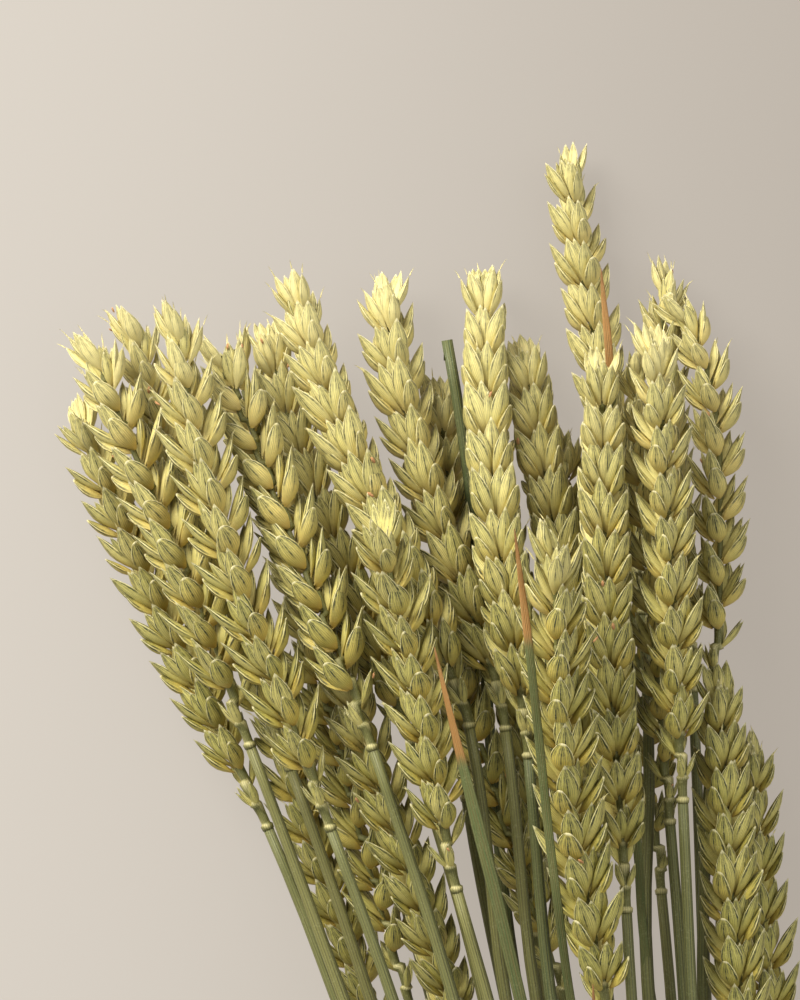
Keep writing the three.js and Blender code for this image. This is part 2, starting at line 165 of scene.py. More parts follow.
def cutAt(corners, edges, y):  # where a node's edges cross the upright plane at y, as (x, z)
    a = corners[edges[:, 0]]
    b = corners[edges[:, 1]]
    crossing = (a[:, 1] - y) * (b[:, 1] - y) < 0
    a, b = a[crossing], b[crossing]
    share = ((y - a[:, 1]) / (b[:, 1] - a[:, 1]))[:, None]
    return (a + (b - a) * share)[:, [0, 2]]


def middleOfCut(corners, edges, y, near):  # near is where it is expected, or None
    points = cutAt(corners, edges, y)
    if near is not None:
        points = points[np.hypot(*(points - near).T) < tracing["stemReach"]]
    if len(points) == 0:
        return None
    return (points.min(axis=0) + points.max(axis=0)) / 2


def traceLine(name, start, end):
    corners, edges = nodeMesh(name)
    count = max(int(abs(end - start) / tracing["step"]), 3)
    places = []
    for y in np.linspace(start, end, count):
        near = None
        if len(places) > 1:
            near = 2 * places[-1][[0, 2]] - places[-2][[0, 2]]
        middle = middleOfCut(corners, edges, y, near)
        if middle is None:
            break
        places.append(np.array([middle[0], y, middle[1]]))
    places = np.array(places)
    places[:, 2] -= tracing["flatLift"]
    return places[np.argsort(places[:, 1])]


def lineThrough(places):
    softened = places.copy()
    softened[1:-1] = (places[:-2] + 2 * places[1:-1] + places[2:]) / 4
    return {"y": softened[:, 1], "x": softened[:, 0], "z": softened[:, 2]}


def pointAt(line, y):
    inside = min(max(y, line["y"][0]), line["y"][-1])
    x, z = (np.interp(inside, line["y"], line[axis]) for axis in "xz")
    point = np.array([x, y, z])
    if y != inside:
        end = 0 if y < inside else -1
        beside = 1 if y < inside else -2
        run = line["y"][end] - line["y"][beside]
        point[0] += (line["x"][end] - line["x"][beside]) / run * (y - inside)
        point[2] += (line["z"][end] - line["z"][beside]) / run * (y - inside)
    return Vector(point)


def directionsAt(line, y, roll):  # along, and two directions square to it, rolled by so many degrees
    roll, over = math.radians(roll), tracing["slopeOver"]
    along = (pointAt(line, y + over) - pointAt(line, y - over)).normalized()
    right = along.cross(Vector((0, 0, 1))).normalized()
    up = right.cross(along)
    turned = right * math.cos(roll) + up * math.sin(roll)
    side = up * math.cos(roll) - right * math.sin(roll)
    return along, turned, side


def stalkLine(number):
    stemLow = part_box(f"stem_{number}")[0] / mm
    corners, _ = nodeMesh(f"ear_{number}")
    foot, tip = corners[:, 1].min(), corners[:, 1].max()
    inset = tracing["endInset"]
    low = traceLine(f"stem_{number}", stemLow.y + inset, foot - 2 * inset)
    levels = np.linspace(foot + 2, tip - 0.2, tracing["earLevels"])
    fit = np.polynomial.Polynomial.fit
    x, z = (fit(corners[:, 1], corners[:, axis], tracing["bend"])(levels) for axis in (0, 2))
    slope = (low[-1] - low[-3]) / (low[-1][1] - low[-3][1])
    start = low[-1] + slope * (levels[0] - low[-1][1])
    fade = np.clip((levels - levels[0]) / tracing["blendIn"], 0, 1)
    x += (start[0] - x[0]) * (1 - fade) ** 2
    z += (start[2] - z[0]) * (1 - fade) ** 2
    z += np.maximum(tracing["rest"] - z, 0) * fade
    line = lineThrough(np.vstack([low, np.column_stack([x, levels, z])]))
    line["cut"], line["foot"], line["tip"] = stemLow.y, foot, tip
    return line


numbers = [f"{i + 1:02d}" for i in range(29)]
lines = {number: stalkLine(number) for number in numbers}
print("stalks traced", len(lines))

# The husks of an ear, lofted ring by ring, each folded round what it holds: a glume is short, wide
# and blunt, and a floret is a longer spindle.

scaleShape = {
    "grain": 0.75,         # how far a husk bulges on its inner side, as a share of depth
    "ridge": 0.3,          # how sharply its back is folded
    "smoothUnder": 62,     # degrees between faces that are still shaded smooth
    # along, width, depth and lift of each ring, as shares of the scale's own size
    "blunt": [
        (0.00, 0.16, 0.14, 0.00), (0.12, 0.50, 0.44, 0.04), (0.27, 0.82, 0.76, 0.08),
        (0.45, 1.00, 1.00, 0.10), (0.63, 0.98, 0.94, 0.10), (0.79, 0.80, 0.68, 0.06),
        (0.91, 0.54, 0.40, 0.02), (0.99, 0.28, 0.20, 0.00), (1.02, 0.20, 0.20, 0.00),
    ],
    "pointed": [
        (0.00, 0.12, 0.16, 0.00), (0.13, 0.40, 0.40, 0.04), (0.29, 0.70, 0.72, 0.10),
        (0.46, 0.94, 0.94, 0.14), (0.62, 0.98, 0.94, 0.14), (0.77, 0.78, 0.70, 0.10),
        (0.89, 0.48, 0.40, 0.06), (0.98, 0.22, 0.18, 0.03), (1.05, 0.10, 0.10, 0.02),
    ],
    "needle": [(0.0, 1.0, 1.0, 0.0), (0.35, 0.8, 0.8, 0.4), (0.7, 0.5, 0.5, 1.6), (1.0, 0.1, 0.1, 3.4)],
    "bead": [(0.0, 0.3, 0.3, 0.0), (0.2, 0.9, 0.9, 0.1), (0.6, 1.0, 1.0, 0.2), (0.9, 0.5, 0.5, 0.0)],
}
scaleSizes = {
    # outline, length, width, depth and how far the tip lifts, in mm; an awn is made 1 mm long
    "glume": ("blunt", 7.6, 4.0, 1.2, 0.05),
    "lemma": ("pointed", 10.6, 3.7, 1.15, 0.1),
    "inner": ("pointed", 9.6, 3.4, 1.1, 0.1),
    "slim": ("pointed", 9.2, 2.6, 0.9, 0.2),
    "awn": ("needle", 1, 0.34, 0.17, 0),
    "anther": ("bead", 1.7, 0.6, 0.26, 0),
}


def scaleModel(name, outline, length, width, depth, tipLift):
    clearSelection()
    bpy.ops.mesh.primitive_circle_add(vertices=8, radius=1, rotation=(math.pi / 2, 0, 0))
    model = bpy.context.object
    model.name = name
    bpy.ops.object.transform_apply(location=False, rotation=True, scale=False)
    startEditing(model)
    pick(model, lambda at: at.z < -0.1)
    bpy.ops.transform.resize(value=(1, 1, scaleShape["grain"]), center_override=(0, 0, 0))
    pick(model, lambda at: abs(at.x) < 0.1 and at.z > 0.9)
    bpy.ops.transform.translate(value=(0, 0, scaleShape["ridge"]))
    rings = scaleShape[outline]
    before = rings[0]
    bpy.ops.mesh.select_all(action="SELECT")
    share = (width / 2 * before[1], 1, depth * before[2])
    bpy.ops.transform.resize(value=share, center_override=(0, 0, 0))
    for ring in rings[1:]:
        along, lift = (ring[0] - before[0]) * length, (ring[3] - before[3]) * depth
        lift += (ring[0] ** 3 - before[0] ** 3) * tipLift
        bpy.ops.mesh.extrude_region_move(TRANSFORM_OT_translate={"value": (0, along, lift)})
        middle = (0, ring[0] * length, ring[3] * depth + ring[0] ** 3 * tipLift)
        share = (ring[1] / before[1], 1, ring[2] / before[2])
        bpy.ops.transform.resize(value=share, center_override=middle)
        before = ring
    bpy.ops.mesh.merge(type="CENTER")
    pick(model, lambda at: at.y < 0.001)
    bpy.ops.mesh.edge_face_add()
    endEditing()
    bpy.ops.object.shade_smooth_by_angle(angle=math.radians(scaleShape["smoothUnder"]))
    layer = model.data.uv_layers.new(name="along")
    halves = {}  # half the width of each ring
    for corner in model.data.vertices:
        key = round(corner.co.y, 3)
        halves[key] = max(halves.get(key, 0.01), abs(corner.co.x))
    for loop in model.data.loops:
        at = model.data.vertices[loop.vertex_index].co
        across = math.asin(min(max(at.x / halves[round(at.y, 3)], -1), 1)) / math.pi
        layer.data[loop.index].uv = (0.5 + across, at.y / length)
    model.data.attributes.new("tone", "FLOAT_COLOR", "POINT")
    return model


models = {name: scaleModel(name, *size) for name, size in scaleSizes.items()}
print("scale models made", [len(model.data.polygons) for model in models.values()])

# Tubes along a line, for stems, straw, leaves and twine

def openCircle(name, corners):
    clearSelection()
    bpy.ops.mesh.primitive_circle_add(vertices=corners, radius=1)
    ring = bpy.context.object
    ring.name = name
    startEditing(ring)
    return ring


def asCurve():  # leaves edit mode with the outline ready for tubes
    bpy.ops.object.mode_set(mode="OBJECT")
    bpy.ops.object.convert(target="CURVE")
    return bpy.context.object


def ringOf(name, corners, lobes, cuts):  # a round outline; cuts are (limit, share) for its grooves
    ring = openCircle(name, corners)
    for limit, share in cuts:
        pick(ring, lambda at: math.cos(lobes * math.atan2(at.y, at.x)) < limit)
        bpy.ops.transform.resize(value=(share, share, share), center_override=(0, 0, 0))
    return asCurve()


def runsAlong(places):  # how far along a line each of its places lies
    runs = [0]
    for before, after in zip(places, places[1:]):
        runs.append(runs[-1] + (after - before).length)
    return runs


def tubeAlong(name, ring, places, radii, tilts=None, twist="MINIMUM"):
    curve = bpy.data.curves.new(name, "CURVE")
    curve.dimensions = "3D"
    curve.bevel_mode = "OBJECT"
    curve.bevel_object = ring
    curve.twist_mode = twist
    spline = curve.splines.new("POLY")
    spline.points.add(len(places) - 1)
    for i, point in enumerate(spline.points):
        point.co = (*places[i], 1)
        point.radius = radii[i]
        point.tilt = tilts[i] if tilts else 0
    tube = bpy.data.objects.new(name, curve)
    bpy.context.collection.objects.link(tube)
    activate(tube)
    bpy.ops.object.convert(target="MESH")
    tube = bpy.context.object
    runs = runsAlong(places)
    layer = tube.data.uv_layers[0]
    layer.name = "along"
    for loop in layer.data:  # round it as a share, and along it in millimetres
        share, around = loop.uv
        run = np.interp(share * (len(places) - 1), range(len(places)), runs)
        loop.uv = (around, float(run))
    tube.data.attributes.new("tone", "FLOAT_COLOR", "POINT")
    return tube


def endTube(tube, place, inwards=None, wall=1):  # fills an end, hollow first where inwards is given
    startEditing(tube)
    pick(tube, lambda at: (at - place).length < stemShape["endReach"])
    if inwards:
        bpy.ops.mesh.extrude_region_move()
        bpy.ops.transform.resize(value=(wall, wall, wall), center_override=place)
        bpy.ops.mesh.extrude_region_move(TRANSFORM_OT_translate={"value": inwards})
    bpy.ops.mesh.edge_face_add()
    endEditing()


def closeTube(tube):  # fills both ends
    startEditing(tube)
    bpy.ops.mesh.select_all(action="SELECT")
    bpy.ops.mesh.fill_holes(sides=0)
    endEditing()


def paintTone(piece, toneAt):  # toneAt gives red, green and blue of "tone" for a corner's place
    values = []
    for corner in piece.data.vertices:
        values += [*toneAt(corner.co), 1]
    piece.data.attributes["tone"].data.foreach_set("color", values)


def bladeRing(name):  # the outline across a leaf: thin, wide and a little rolled
    ring = openCircle(name, 12)
    bpy.ops.mesh.select_all(action="SELECT")
    bpy.ops.transform.resize(value=(1, 0.15, 1), center_override=(0, 0, 0))
    pick(ring, lambda at: abs(at.x) > 0.45)
    bpy.ops.transform.translate(value=(0, 0.14, 0))
    pick(ring, lambda at: abs(at.x) > 0.8)
    bpy.ops.transform.translate(value=(0, 0.2, 0))
    return asCurve()


ribbed = ringOf("ribbed", 24, 12, [(0, 0.95)])
blade = bladeRing("blade")
smoothRing = ringOf("smoothRing", 8, 1, [])
strands = ringOf("strands", 12, 3, [(0.5, 0.87), (-0.5, 0.7)])

# Materials

def colour(*channels):  # a colour as a paint program shows it, from 0 to 255, made linear
    return [((channel / 255 + 0.055) / 1.055) ** 2.4 for channel in channels] + [1]


def addNode(tree, kind, inputs=None, **settings):
    made = tree.nodes.new(kind)
    for key, value in settings.items():
        setattr(made, key, value)
    for key, value in (inputs or {}).items():
        if isinstance(value, bpy.types.NodeSocket):
            tree.links.new(value, made.inputs[key])
        else:
            made.inputs[key].default_value = value
    return made


def maths(tree, operation, a, b=0.0):
    return addNode(tree, "ShaderNodeMath", {0: a, 1: b}, operation=operation).outputs[0]


def between(tree, value, low, high, start=0.0, end=1.0):  # a smooth step of value
    inputs = {"Value": value, "From Min": low, "From Max": high, "To Min": start, "To Max": end}
    step = addNode(tree, "ShaderNodeMapRange", inputs, interpolation_type="SMOOTHSTEP")
    return step.outputs["Result"]


def times(tree, a, b):
    return maths(tree, "MULTIPLY", a, b)


def blend(tree, share, a, b):
    return addNode(tree, "ShaderNodeMix", {0: share, 6: a, 7: b}, data_type="RGBA").outputs[2]


def bandOf(tree, value, low, lowFull, highFull, high):  # 1 inside a band of value, fading at its sides
    rise = between(tree, value, low, lowFull)
    return times(tree, rise, between(tree, value, highFull, high, 1.0, 0.0))


def noiseAt(tree, place, scale, detail=2.0, rough=0.5):
    inputs = {"Vector": place, "Scale": scale, "Detail": detail, "Roughness": rough}
    return addNode(tree, "ShaderNodeTexNoise", inputs).outputs["Fac"]


def stretch(tree, uv, across, along):  # uv made finer or coarser for a streaky noise
    return addNode(tree, "ShaderNodeMapping", {"Vector": uv, "Scale": (across, along, 1)}).outputs["Vector"]


def newGroup(name, inputs, outputs):
    group = bpy.data.node_groups.new(name, "ShaderNodeTree")
    for label, kind in inputs:
        group.interface.new_socket(name=label, in_out="INPUT", socket_type=kind)
    for label, kind in outputs:
        group.interface.new_socket(name=label, in_out="OUTPUT", socket_type=kind)
    start = group.nodes.new("NodeGroupInput")
    end = group.nodes.new("NodeGroupOutput")
    return group, start, end


def placeOf(tree):  # the place in the frame, in metres
    return addNode(tree, "ShaderNodeTexCoord").outputs["Object"]


def alongUv(tree):  # the piece's own map, and its two parts
    uv = addNode(tree, "ShaderNodeUVMap", uv_map="along").outputs["UV"]
    parts = addNode(tree, "ShaderNodeSeparateXYZ", {0: uv})
    return uv, parts.outputs["X"], parts.outputs["Y"]


def toneOf(tree):  # the three values that a piece's corners carry
    tone = addNode(tree, "ShaderNodeAttribute", attribute_name="tone").outputs["Color"]
    return addNode(tree, "ShaderNodeSeparateColor", {0: tone}).outputs


def veinsOf(tree, across, count, width):
    inputs = {"Across": across, "Count": count, "Width": width}
    return addNode(tree, "ShaderNodeGroup", inputs, node_tree=veinGroup).outputs["Line"]


def addSurface(tree, shader, height, roughness, look):  # what isn't its colour
    inputs = {"Height": height, "Strength": look["bump"], "Distance": look["bumpHeight"]}
    tree.links.new(addNode(tree, "ShaderNodeBump", inputs).outputs["Normal"], shader.inputs["Normal"])
    tree.links.new(roughness, shader.inputs["Roughness"])
    shader.inputs["Specular IOR Level"].default_value = look["specular"]


# Mealy bloom: the pale powder in specks and cloudy patches on dried wheat
bloomLook = {"specks": 2600.0, "clouds": 240.0}  # noise scales
bloomGroup, start, end = newGroup(
    "mealyBloom",
    [("Color", "NodeSocketColor"), ("Powder", "NodeSocketColor"), ("Amount", "NodeSocketFloat")],
    [("Color", "NodeSocketColor"), ("Mask", "NodeSocketFloat")])
place = placeOf(bloomGroup)
specks = between(bloomGroup, noiseAt(bloomGroup, place, bloomLook["specks"], 3.0, 0.6), 0.5, 0.68)
clouds = between(bloomGroup, noiseAt(bloomGroup, place, bloomLook["clouds"], 3.0), 0.35, 0.7, 0.25, 1.0)
powder = times(bloomGroup, specks, clouds)
powder = times(bloomGroup, powder, start.outputs["Amount"])
dusted = blend(bloomGroup, powder, start.outputs["Color"], start.outputs["Powder"])
bloomGroup.links.new(dusted, end.inputs["Color"])
bloomGroup.links.new(powder, end.inputs["Mask"])

# Veins: fine lines that run along a husk, stem or leaf, evenly set across it
veinGroup, start, end = newGroup(
    "veins",
    [("Across", "NodeSocketFloat"), ("Count", "NodeSocketFloat"), ("Width", "NodeSocketFloat")],
    [("Line", "NodeSocketFloat")])
turns = times(veinGroup, start.outputs["Across"], start.outputs["Count"])
offset = maths(veinGroup, "ABSOLUTE", maths(veinGroup, "SUBTRACT", maths(veinGroup, "FRACT", turns), 0.5))
line = between(veinGroup, offset, 0.0, start.outputs["Width"], 1.0, 0.0)
veinGroup.links.new(line, end.inputs["Line"])


def newMaterial(name):
    material = bpy.data.materials.new(name)
    material.use_nodes = True
    tree = material.node_tree
    return material, tree, tree.nodes["Principled BSDF"]


def addBloom(tree, shader, body, look):  # powders a colour, makes it the shader's own, returns the mask
    inputs = {"Color": body, "Powder": look["powder"], "Amount": look["bloom"]}
    dusted = addNode(tree, "ShaderNodeGroup", inputs, node_tree=bloomGroup)
    tree.links.new(dusted.outputs["Color"], shader.inputs["Base Color"])
    return dusted.outputs["Mask"]


huskLook = {
    "foot": colour(190, 152, 66),       # the foot of a glume, warm and darker: partly its own colour, partly painted shade of the crevice it sits in
    "gold": colour(214, 186, 88),
    "green": colour(188, 174, 82),
    "lemma": colour(220, 204, 120),
    "lemmaGreen": colour(192, 182, 94),
    # the foot of a floret: its own brownish colour, darkened further as painted shade of the crevice
    "lemmaFootAndShade": colour(162, 136, 60),
    "tipGreen": colour(156, 152, 78),
    "rachis": colour(104, 102, 50),
    "nerve": colour(44, 50, 28),
    "margin": colour(244, 234, 190),
    "straw": colour(236, 222, 156),     # the palest scales, near an ear's tip, and painted light on the ears highest up the bundle
    "powder": colour(240, 228, 164),
    "anther": colour(190, 138, 90),
    "thickNerves": (6.0, 0.34),         # how many across a husk, and how wide
    "thinNerves": (15.0, 0.36),
    "patches": 420.0, "uneven": 900.0,  # noise scales
    "bloom": 0.2, "bump": 0.5, "bumpHeight": 0.00025, "specular": 0.4,
}


def huskMaterial():
    material, tree, shader = newMaterial("wheatHusk")
    uv, across, along = alongUv(tree)
    own, kind, palenessAndPaintedLight = toneOf(tree)
    isGlume = between(tree, kind, 0.7, 0.9)  # see the kinds of earShape
    isAnther = bandOf(tree, kind, 0.3, 0.4, 0.6, 0.7)
    isRachis = bandOf(tree, kind, 0.05, 0.15, 0.25, 0.3)
    notRachis = maths(tree, "SUBTRACT", 1.0, isRachis)
    place = placeOf(tree)
    fromRidge = maths(tree, "ABSOLUTE", maths(tree, "SUBTRACT", across, 0.5))

    glumeBody = blend(tree, own, huskLook["gold"], huskLook["green"])
    # the feet of glumes and florets are darkened, partly as painted shade of the crevices between husks
    glumeBody = blend(tree, between(tree, along, 0.0, 0.35, 0.8, 0.0), glumeBody, huskLook["foot"])
    lemmaBody = blend(tree, own, huskLook["lemma"], huskLook["lemmaGreen"])
    lemmaBody = blend(tree, between(tree, along, 0.05, 0.4, 0.75, 0.0), lemmaBody, huskLook["lemmaFootAndShade"])
    body = blend(tree, isGlume, lemmaBody, glumeBody)
    patches = between(tree, noiseAt(tree, place, huskLook["patches"], 3.0), 0.3, 0.75)
    body = blend(tree, times(tree, patches, 0.16), body, huskLook["tipGreen"])
    tipShare = between(tree, isGlume, 0.0, 1.0, 0.35, 0.6)
    greenTip = times(tree, between(tree, along, 0.45, 0.9), tipShare)
    body = blend(tree, greenTip, body, huskLook["tipGreen"])
    body = blend(tree, isRachis, body, huskLook["rachis"])
    # blend to straw: the husk's own paleness, plus painted light on the ears at the top of the bundle
    body = blend(tree, palenessAndPaintedLight, body, huskLook["straw"])

    uneven = between(tree, noiseAt(tree, place, huskLook["uneven"]), 0.3, 0.65, 0.6, 1.0)
    thick = veinsOf(tree, across, *huskLook["thickNerves"])
    thick = times(tree, thick, between(tree, along, 0.5, 0.85))
    thin = veinsOf(tree, across, *huskLook["thinNerves"])
    thin = times(tree, thin, between(tree, along, 0.1, 0.65, 0.2, 0.6))
    rimStart = between(tree, along, 0.45, 0.95, 0.475, 0.44)  # the papery rim widens to the tip
    fromRim = maths(tree, "SUBTRACT", fromRidge, rimStart)
    beside = bandOf(tree, fromRim, -0.14, -0.09, -0.03, 0.0)
    keel = between(tree, fromRidge, 0.015, 0.05, 1.0, 0.0)
    long = maths(tree, "MAXIMUM", beside, keel)
    long = times(tree, long, between(tree, along, 0.25, 0.6))
    long = times(tree, long, notRachis)
    nerves = maths(tree, "MAXIMUM", maths(tree, "MAXIMUM", thick, thin), long)
    nerves = times(tree, nerves, uneven)
    nerves = times(tree, nerves, between(tree, palenessAndPaintedLight, 0.0, 0.9, 1.0, 0.6))
    body = blend(tree, nerves, body, huskLook["nerve"])
    rim = times(tree, between(tree, fromRim, 0.0, 0.02), between(tree, along, 0.35, 0.7))
    pale = maths(tree, "MAXIMUM", rim, between(tree, along, 0.95, 1.0))
    pale = times(tree, times(tree, pale, 0.45), notRachis)
    body = blend(tree, pale, body, huskLook["margin"])
    body = blend(tree, isAnther, body, huskLook["anther"])
    addBloom(tree, shader, body, huskLook)

    grain = noiseAt(tree, stretch(tree, uv, 60, 3), 1.0, 3.0, 0.6)
    height = maths(tree, "ADD", times(tree, nerves, 0.5), times(tree, grain, 0.7))
    addSurface(tree, shader, height, between(tree, grain, 0.2, 0.8, 0.45, 0.62), huskLook)
    return material


stemLook = {
    "green": colour(70, 82, 44),
    "grey": colour(108, 106, 56),
    "straw": colour(142, 132, 70),
    "rib": colour(40, 44, 20),
    "sheath": colour(112, 114, 64),
    "joint": colour(92, 76, 42),
    "powder": colour(184, 184, 140),
    "veins": (13.0, 0.26),     # how many round a stem, and how wide
    "wrap": (0.16, 0.57),      # the part of the way round that the leaf's sheath covers
    "bloom": 0.2, "bump": 0.6, "bumpHeight": 0.0002, "specular": 0.5,
}


def stemMaterial():
    material, tree, shader = newMaterial("wheatStem")
    uv, around, _ = alongUv(tree)
    own, joint, strawy = toneOf(tree)
    long = stretch(tree, uv, 30, 0.03)
    streaks = between(tree, noiseAt(tree, long, 1.0, 3.0, 0.6), 0.35, 0.65)
    body = blend(tree, own, stemLook["green"], stemLook["grey"])
    low, high = stemLook["wrap"]
    wrapped = bandOf(tree, around, low, low + 0.01, high - 0.01, high)
    body = blend(tree, times(tree, wrapped, 0.5), body, stemLook["sheath"])
    body = blend(tree, times(tree, streaks, 0.36), body, stemLook["straw"])
    body = blend(tree, strawy, body, stemLook["straw"])
    veins = veinsOf(tree, around, *stemLook["veins"])
    veins = times(tree, veins, between(tree, noiseAt(tree, long, 1.7), 0.35, 0.6, 0.25, 1.0))
    edges = [bandOf(tree, around, at - 0.015, at - 0.005, at + 0.005, at + 0.015) for at in (low, high)]
    lines = maths(tree, "MAXIMUM", veins, maths(tree, "ADD", *edges))
    body = blend(tree, times(tree, lines, 0.72), body, stemLook["rib"])
    body = blend(tree, joint, body, stemLook["joint"])
    powder = addBloom(tree, shader, body, stemLook)
    height = maths(tree, "SUBTRACT", times(tree, powder, 0.3), lines)
    addSurface(tree, shader, height, between(tree, streaks, 0.0, 1.0, 0.5, 0.62), stemLook)
    return material


leafLook = {
    "green": colour(84, 98, 56),
    "straw": colour(140, 118, 74),
    "orange": colour(158, 114, 62),
    "brown": colour(126, 88, 54),
    "vein": colour(112, 80, 46),
    "powder": stemLook["powder"],
    "veins": (14.0, 0.35),
    "bloom": 0.15, "bump": 0.5, "bumpHeight": 0.0002, "specular": 0.2,
}


def leafMaterial():
    material, tree, shader = newMaterial("dryLeaf")
    uv, across, _ = alongUv(tree)
    dry, tip, _ = toneOf(tree)
    long = stretch(tree, uv, 14, 0.12)
    streaks = between(tree, noiseAt(tree, long, 1.0, 3.0, 0.6), 0.3, 0.7)
    dryness = between(tree, maths(tree, "ADD", dry, times(tree, streaks, 0.2)), 0.3, 0.9)
    body = blend(tree, dryness, leafLook["green"], leafLook["orange"])
    body = blend(tree, times(tree, streaks, 0.3), body, leafLook["straw"])
    body = blend(tree, times(tree, tip, 0.7), body, leafLook["brown"])
    veins = veinsOf(tree, across, *leafLook["veins"])
    body = blend(tree, times(tree, veins, 0.3), body, leafLook["vein"])
    addBloom(tree, shader, body, leafLook)
    height = maths(tree, "SUBTRACT", times(tree, streaks, 0.5), veins)
    addSurface(tree, shader, height, between(tree, streaks, 0.0, 1.0, 0.6, 0.75), leafLook)
    return material


twineLook = {
    "light": colour(206, 174, 122),
    "mid": colour(176, 140, 90),
    "dark": colour(112, 82, 48),
    "clouds": 260.0, "bump": 0.7, "bumpHeight": 0.0004, "specular": 0.5,
}


def twineMaterial():
    material, tree, shader = newMaterial("naturalTwine")
    uv, _, _ = alongUv(tree)
    loose = toneOf(tree)[0]
    fibres = noiseAt(tree, stretch(tree, uv, 24, 1.1), 1.0, 4.0, 0.65)
    clouds = between(tree, noiseAt(tree, placeOf(tree), twineLook["clouds"], 3.0), 0.3, 0.7)
    bright = times(tree, between(tree, fibres, 0.5, 0.75), clouds)
    body = blend(tree, between(tree, fibres, 0.3, 0.62), twineLook["dark"], twineLook["mid"])
    body = blend(tree, bright, body, twineLook["light"])
    body = blend(tree, loose, body, twineLook["light"])
    tree.links.new(body, shader.inputs["Base Color"])
    addSurface(tree, shader, fibres, between(tree, fibres, 0.3, 0.7, 0.95, 0.8), twineLook)
    return material


husk = huskMaterial()
stemSkin = stemMaterial()
leafSkin = leafMaterial()
twineSkin = twineMaterial()
print("materials made")

# The ears

# How far each ear's two columns are rolled at its foot and at its tip, in degrees, and its width in mm
earTable = [
    (142, 156, 13.6), (118, 128, 13), (126, 134, 13.4), (126, 138, 13.8), (160, 172, 13.6),
    (158, 170, 12.4), (66, 78, 13), (98, 106, 13.8), (120, 130, 13.4), (106, 118, 13.8),
    (88, 98, 12.6), (84, 94, 13.4), (86, 94, 13.4), (44, 36, 12), (80, 34, 14.4),
    (86, 94, 13.6), (104, 118, 12.4), (60, 70, 12.4), (20, 34, 11.2), (144, 154, 11.6),
    (64, 74, 13.6), (56, 66, 12.4), (24, 16, 10), (50, 40, 10.6), (136, 144, 12.8),
    (24, 36, 13), (106, 118, 13), (6, 16, 12.6), (84, 92, 12.8),
]

earShape = {
    "step": 4.35, "neck": 3.5, "cap": 8, "widthOfFan": 12.4,
    # model, then its shift sideways, outwards and along, then fan angle, splay and facing
    "fan": [
        ("glume", (1.0, 0.4, 0.0), (26, 30, 58)),
        ("lemma", (0.4, 0.3, 0.7), (20, 27, 30)),
    ],
    "inner": [((0.2, 0.5, 1.6), (6, 26, 8)), ((-0.3, 0.1, 2.3), (-7, 20, -10))],
    "stunted": (0.2, 0.5, 0),  # the shift of the slim scales in the two lowest spikelets
    "pointsFrom": 0.86,        # the share of the ear past which no spikelet has glumes
    "loose": 5,                # degrees that each scale may turn either way
    "endLength": 10.2,         # length of the last spikelet
    # the green of "tone" tells the material what a piece is
    "kinds": {
        "glume": 1.0, "lemma": 0.0, "inner": 0.0, "slim": 0.0, "awn": 0.0,
        "anther": 0.5, "rachis": 0.2,
    },
    "awnShare": 0.1, "awnShareHigh": 0.22, "awnLength": (1.0, 2.2), "awnAt": (0, 10.1, 0.25),
    "antherShare": 0.03, "antherAt": (8.2, 1.1),
    "pressed": 1.0,            # mm over the floor in which the lowest scales are flattened
}


def scaleMatrix(at, along, outward, side, fan, splay, facing, size):
    fan, splay, facing = (math.radians(angle) for angle in (fan, splay, facing))
    direction = (along * math.cos(fan) + side * math.sin(fan)) * math.cos(splay) + outward * math.sin(splay)
    back = outward * math.cos(facing) + side * math.sin(facing)
    back = (back - direction * back.dot(direction)).normalized()
    across = direction.cross(back)
    turn = Matrix((across, direction, back)).transposed().to_4x4()
    return Matrix.Translation(at) @ turn @ Matrix.Scale(size, 4)


def earShare(t):  # how large the spikelets are along the ear
    return mix(0.5, 1, smooth(t, -0.03, 0.17)) * mix(1, 0.7, smooth(t, 0.66, 1.05))


def addTip(line, roll, addScale):  # the last spikelet, turned a quarter against the others
    y = line["tip"] - earShape["endLength"]
    along, outward, side = directionsAt(line, y, roll)
    at, size = pointAt(line, y), 0.9 + vary(0.06)
    for turn in (-1, 1):
        axes = (along, side * turn, outward)
        addScale("inner", at, axes, 1, (0, 0.8, -1), (vary(5), 15, 0), size * 0.8, 0.3)
        addScale("inner", at, axes, 1, (0.5 * turn, 0.3, 0.2), (7 * turn, 4, 0), size * 0.9, 0.4)
    addScale("slim", at, (along, outward, side), 1, (0, 0.3, 0.4), (3, 6, 0), size * 0.9, 0.3)
    addScale("slim", at, (along, -outward, side), 1, (0, 0.3, 0.3), (-4, 8, 0), size * 0.9, 0.3)


def buildRachis(line, step, roll):  # the ear's jointed axis
    rachis, radii, knots = [pointAt(line, line["foot"] - 0.9)], [1.2], []
    for i in range(int((line["tip"] - 7 - line["foot"]) / step) + 1):
        y = line["foot"] + step * i
        bulge = directionsAt(line, y, roll)[1] * (0.5 if i % 2 else -0.5)
        slim = mix(1, 0.6, smooth(i, 2, 4))
        knots.append(y)
        foot = 1.32 if i == 0 else 1.22
        rings = [(0, foot), (0.3, 0.96), (0.6, 0.92), (step * 0.5, 0.94), (step - 0.4, 1.14)]
        for shift, radius in rings:
            rachis.append(pointAt(line, y + shift) + bulge * (i > 0))
            radii.append(radius * slim)
    tube = tubeAlong("rachis", smoothRing, rachis, radii)
    closeTube(tube)
    knots = np.array(knots)

    def toneAt(at):  # cream at its knots near the foot, the green of a husk further up
        onKnot = smooth(np.abs(knots - at.y).min(), 0.5, 0.1)
        return 1, earShape["kinds"]["rachis"], 0.55 * onKnot * smooth(at.y, knots[5], knots[3])

    paintTone(tube, toneAt)
    for loop in tube.data.uv_layers["along"].data:
        loop.uv.y = 0.5
    return tube


